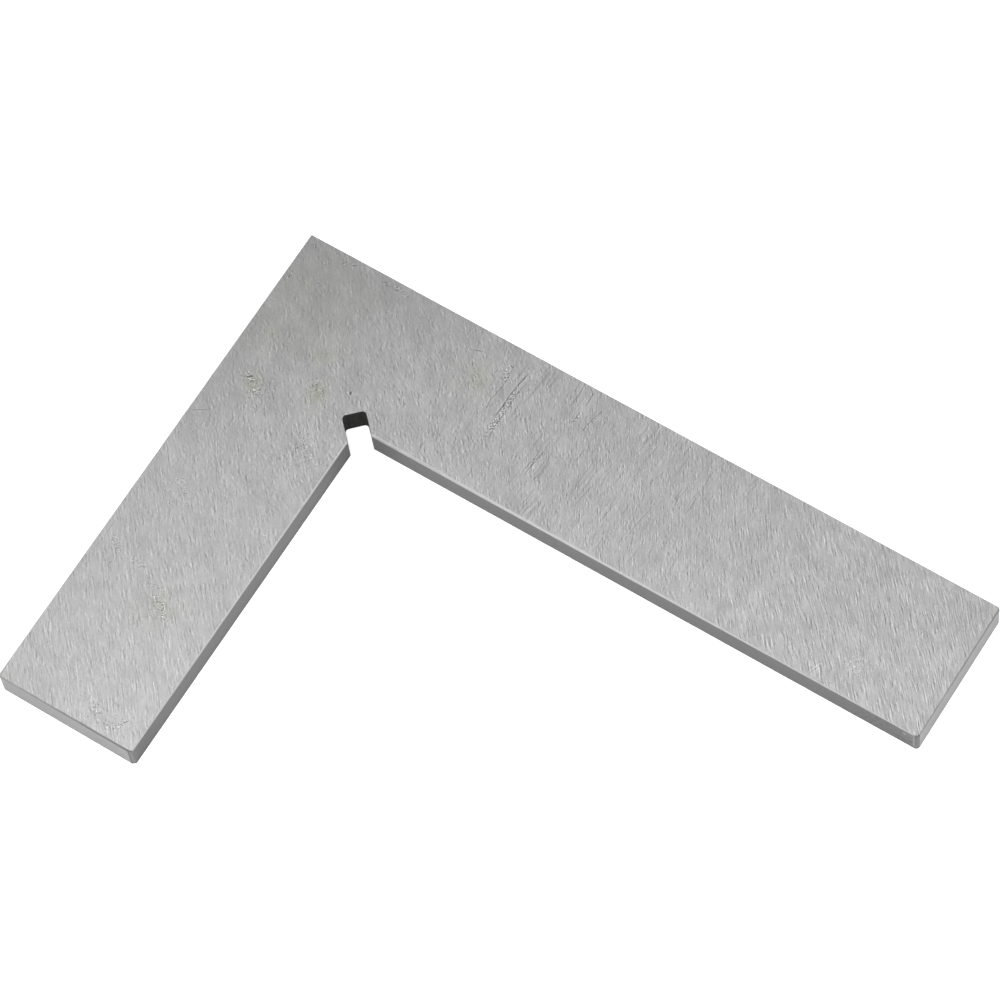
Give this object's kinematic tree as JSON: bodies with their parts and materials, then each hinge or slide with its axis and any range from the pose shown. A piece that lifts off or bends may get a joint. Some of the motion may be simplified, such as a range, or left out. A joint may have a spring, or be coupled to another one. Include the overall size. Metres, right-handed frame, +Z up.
{
  "type": "flat engineer's square",
  "caption": "Flat L-shaped square of ground steel with a relief slot at its inner corner, for marking and checking right angles in leatherwork.",
  "frame": {"origin": "the outer corner of the L, where the planes of the two outer edges and of the underside meet", "axes": "+X along the short leg, +Y along the long leg, +Z up through the thickness, away from the underside"},
  "size_m": [0.07, 0.1, 0.0041],
  "materials": {
    "ground_steel": "satin ground steel with short arced grinding marks, light scratches and a few faint stains"
  },
  "bodies": {
    "root": {"square_body": "ground_steel"}
  },
  "joints": []
}
